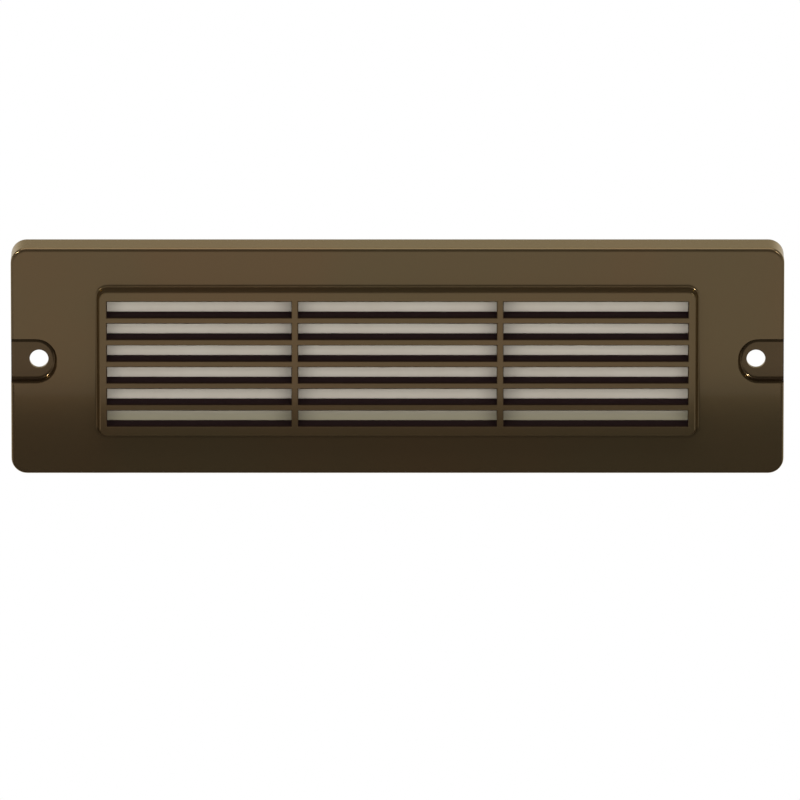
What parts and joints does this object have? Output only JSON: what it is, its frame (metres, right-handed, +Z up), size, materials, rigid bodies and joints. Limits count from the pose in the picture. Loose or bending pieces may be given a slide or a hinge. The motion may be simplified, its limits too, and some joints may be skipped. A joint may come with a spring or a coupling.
{
  "type": "step light",
  "caption": "Low recessed step light: louvred cast face plate over a frosted pane, with a narrow lamp housing behind it and an open screw hole in a pocket at each end.",
  "frame": {"origin": "midway between the two wall screws' holes, in the plane of the pocket floors that the heads seat on", "axes": "+X along the cover, +Z up, -Y out of the wall towards the viewer"},
  "size_m": [0.222, 0.086, 0.0666],
  "materials": {
    "cast_bronze": "dark bronze powder coat, satin",
    "frosted_glass": "frosted, warm white",
    "silicone": "matt, translucent grey",
    "black_rubber": "matt black",
    "housing_coat": "dark bronze powder coat, matt",
    "steel": "plain stainless",
    "polished_sheet": "bright rolled",
    "socket_ceramic": "glazed white",
    "brass": "plain",
    "lamp_glass": "clear",
    "tungsten": "dull",
    "lead_insulation": "white sleeving",
    "block_nylon": "natural nylon",
    "gland_nylon": "black nylon"
  },
  "bodies": {
    "cover_body": {"cover": "cast_bronze", "lens": "frosted_glass", "lens_gasket": "silicone"},
    "housing_body": {"housing_gasket": "black_rubber", "housing": "housing_coat", "housing_screws": "steel", "reflector": "polished_sheet", "reflector_screws": "steel", "socket_left": "socket_ceramic", "socket_right": "socket_ceramic", "contacts_left": "brass", "contacts_right": "brass", "leads_left": "lead_insulation", "leads_right": "lead_insulation", "terminal_block": "block_nylon", "terminal_sleeves": "brass", "terminal_screws": "steel", "block_screw": "steel", "gland_washer": "black_rubber", "gland_body": "gland_nylon", "gland_seal": "black_rubber", "gland_nut": "gland_nylon"},
    "left_lamp": {"lamp_left": "lamp_glass", "filament_left": "tungsten"},
    "right_lamp": {"lamp_right": "lamp_glass", "filament_right": "tungsten"}
  },
  "joints": [
    {"name": "housing_slide", "type": "slide", "parent": "cover_body", "child": "housing_body", "axis": [0, 1, 0], "range_m": [0, 0.045]},
    {"name": "lamp_left_pull", "type": "slide", "parent": "housing_body", "child": "left_lamp", "axis": [1, 0, 0], "range_m": [0, 0.012]},
    {"name": "lamp_right_pull", "type": "slide", "parent": "housing_body", "child": "right_lamp", "axis": [-1, 0, 0], "range_m": [0, 0.012]}
  ]
}
